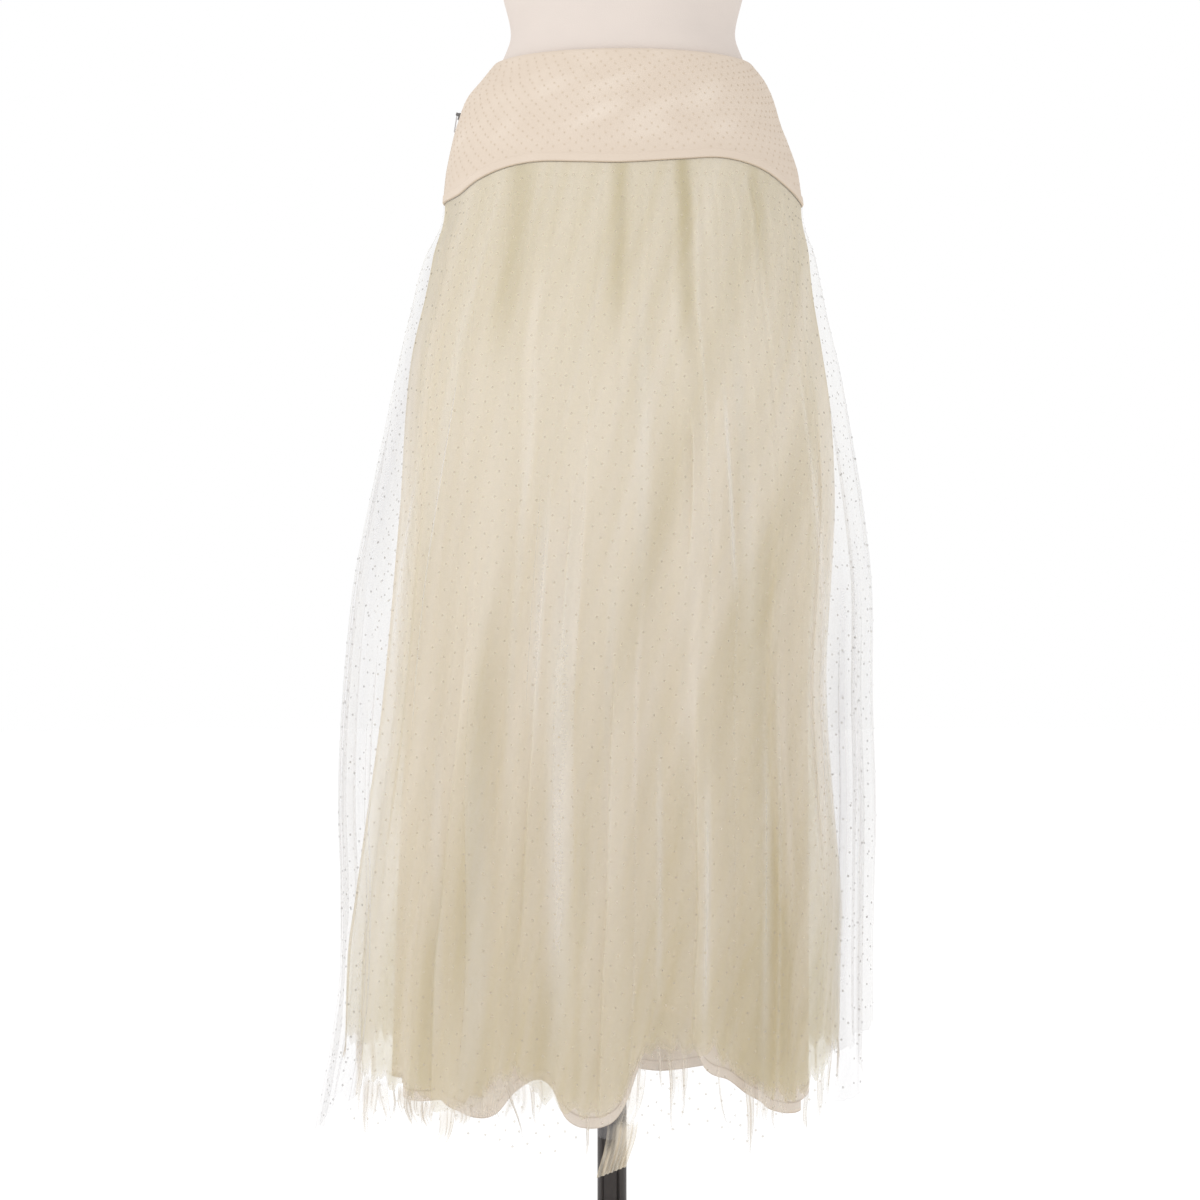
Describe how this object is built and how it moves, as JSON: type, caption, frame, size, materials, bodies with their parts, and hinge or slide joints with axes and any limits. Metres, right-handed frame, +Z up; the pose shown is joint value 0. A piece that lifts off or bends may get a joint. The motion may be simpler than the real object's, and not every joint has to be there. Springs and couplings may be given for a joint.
{
  "type": "tulle skirt on a dress form",
  "caption": "Long gathered tulle skirt with a smooth hip yoke, side zip and lining, worn by a limbless dress form on a pole stand.",
  "frame": {"origin": "centre of the stand base's underside, on the floor", "axes": "+Z up along the pole, -Y towards the skirt's front, +X towards the viewer's right of the front, so the zip is at -X"},
  "size_m": [0.5443, 0.4719, 1.62],
  "materials": {
    "yoke_cloth": "matte",
    "dotted_tulle": "matte",
    "plain_tulle": "matte",
    "lining_cloth": "satin",
    "zip_tape": "matte",
    "zip_metal": "satin",
    "form_cover": "matte",
    "stand_metal": "satin"
  },
  "bodies": {
    "skirt_and_form": {"yoke_front": "yoke_cloth", "yoke_back": "yoke_cloth", "outer_tulle_front": "dotted_tulle", "outer_tulle_back": "dotted_tulle", "inner_tulle_front": "plain_tulle", "inner_tulle_back": "plain_tulle", "lining_front": "lining_cloth", "lining_back": "lining_cloth", "zip_tape": "zip_tape", "zip_slider": "zip_metal", "form_torso": "form_cover", "stand_collar": "stand_metal", "stand_pole": "stand_metal", "stand_base": "stand_metal"},
    "zip_pull": {"zip_pull": "zip_metal"}
  },
  "joints": [
    {"name": "zip_pull_hinge", "type": "hinge", "parent": "skirt_and_form", "child": "zip_pull", "pos_m": [-0.1486, 0, 1.1162], "axis": [0, 1, 0], "range_deg": [0, 150]}
  ]
}
